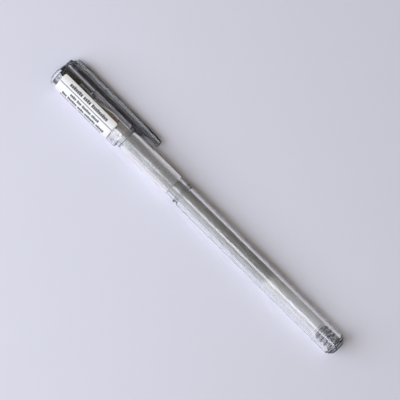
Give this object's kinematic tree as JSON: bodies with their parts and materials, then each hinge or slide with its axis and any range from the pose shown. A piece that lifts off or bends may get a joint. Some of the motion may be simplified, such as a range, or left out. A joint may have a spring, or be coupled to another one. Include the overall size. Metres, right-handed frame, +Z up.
{
  "type": "gel pen",
  "caption": "Capped gel pen: clear barrel and clear cap with a smoke clip, inner cap and tail plug, a soft translucent grip, and a tube refill with dark gel ink and grease follower.",
  "frame": {"origin": "on the surface that the pen lies on, under the middle of its box", "axes": "+X from the tail to the capped writing end, +Z up, the clip towards -Y and dipped to the surface"},
  "size_m": [0.15, 0.0146, 0.0113],
  "materials": {
    "clear_plastic": "polished, clear",
    "cap_plastic": "polished, clear",
    "grip_rubber": "satin, translucent",
    "smoke_plastic": "polished, translucent smoke",
    "tube_plastic": "hazy, translucent",
    "ink": "wet gel",
    "grease": "clear grease, light grey",
    "holder_plastic": "satin, dark brown",
    "nib_metal": "turned, fine rings",
    "carbide": "polished",
    "steel_ball": "polished",
    "pad_rubber": "matt",
    "label_film": null
  },
  "bodies": {
    "barrel": {"barrel": "clear_plastic", "grip_sleeve": "grip_rubber"},
    "plug": {"tail_plug": "smoke_plastic"},
    "refill": {"refill_tube": "tube_plastic", "ink_column": "ink", "tip_holder": "holder_plastic", "check_ball": "steel_ball", "nib": "nib_metal"},
    "follower": {"grease_follower": "grease"},
    "ball": {"nib_ball": "carbide"},
    "cap": {"cap_shell": "cap_plastic", "cap_insert": "smoke_plastic", "seal_pad": "pad_rubber", "cap_label": "label_film"},
    "clip": {"clip_arm": "smoke_plastic"}
  },
  "joints": [
    {"name": "cap_pull", "type": "slide", "parent": "barrel", "child": "cap", "axis": [1, 0, 0], "range_m": [0, 0.04]},
    {"name": "clip_flex", "type": "hinge", "parent": "cap", "child": "clip", "pos_m": [0.072, -0.00669, 0.00179], "axis": [0, -0.4198, 0.9076], "range_deg": [0, 4], "stiffness_Nm_per_rad": 3.5},
    {"name": "refill_slide", "type": "slide", "parent": "barrel", "child": "refill", "axis": [-1, 0, 0], "range_m": [0, 0.14]},
    {"name": "plug_pull", "type": "slide", "parent": "barrel", "child": "plug", "axis": [-1, 0, 0], "range_m": [0, 0.14]},
    {"name": "follower_advance", "type": "slide", "parent": "refill", "child": "follower", "axis": [1, 0, 0], "range_m": [0, 0.0765], "deforming": ["ink_column"]},
    {"name": "ball_roll", "type": "hinge", "parent": "refill", "child": "ball", "pos_m": [0.06295, 0.00166, 0.00565], "axis": [0, 1, 0], "continuous": true}
  ],
  "couplings": [
    {"joint": "plug_pull", "follows": "refill_slide", "ratio": 1}
  ]
}
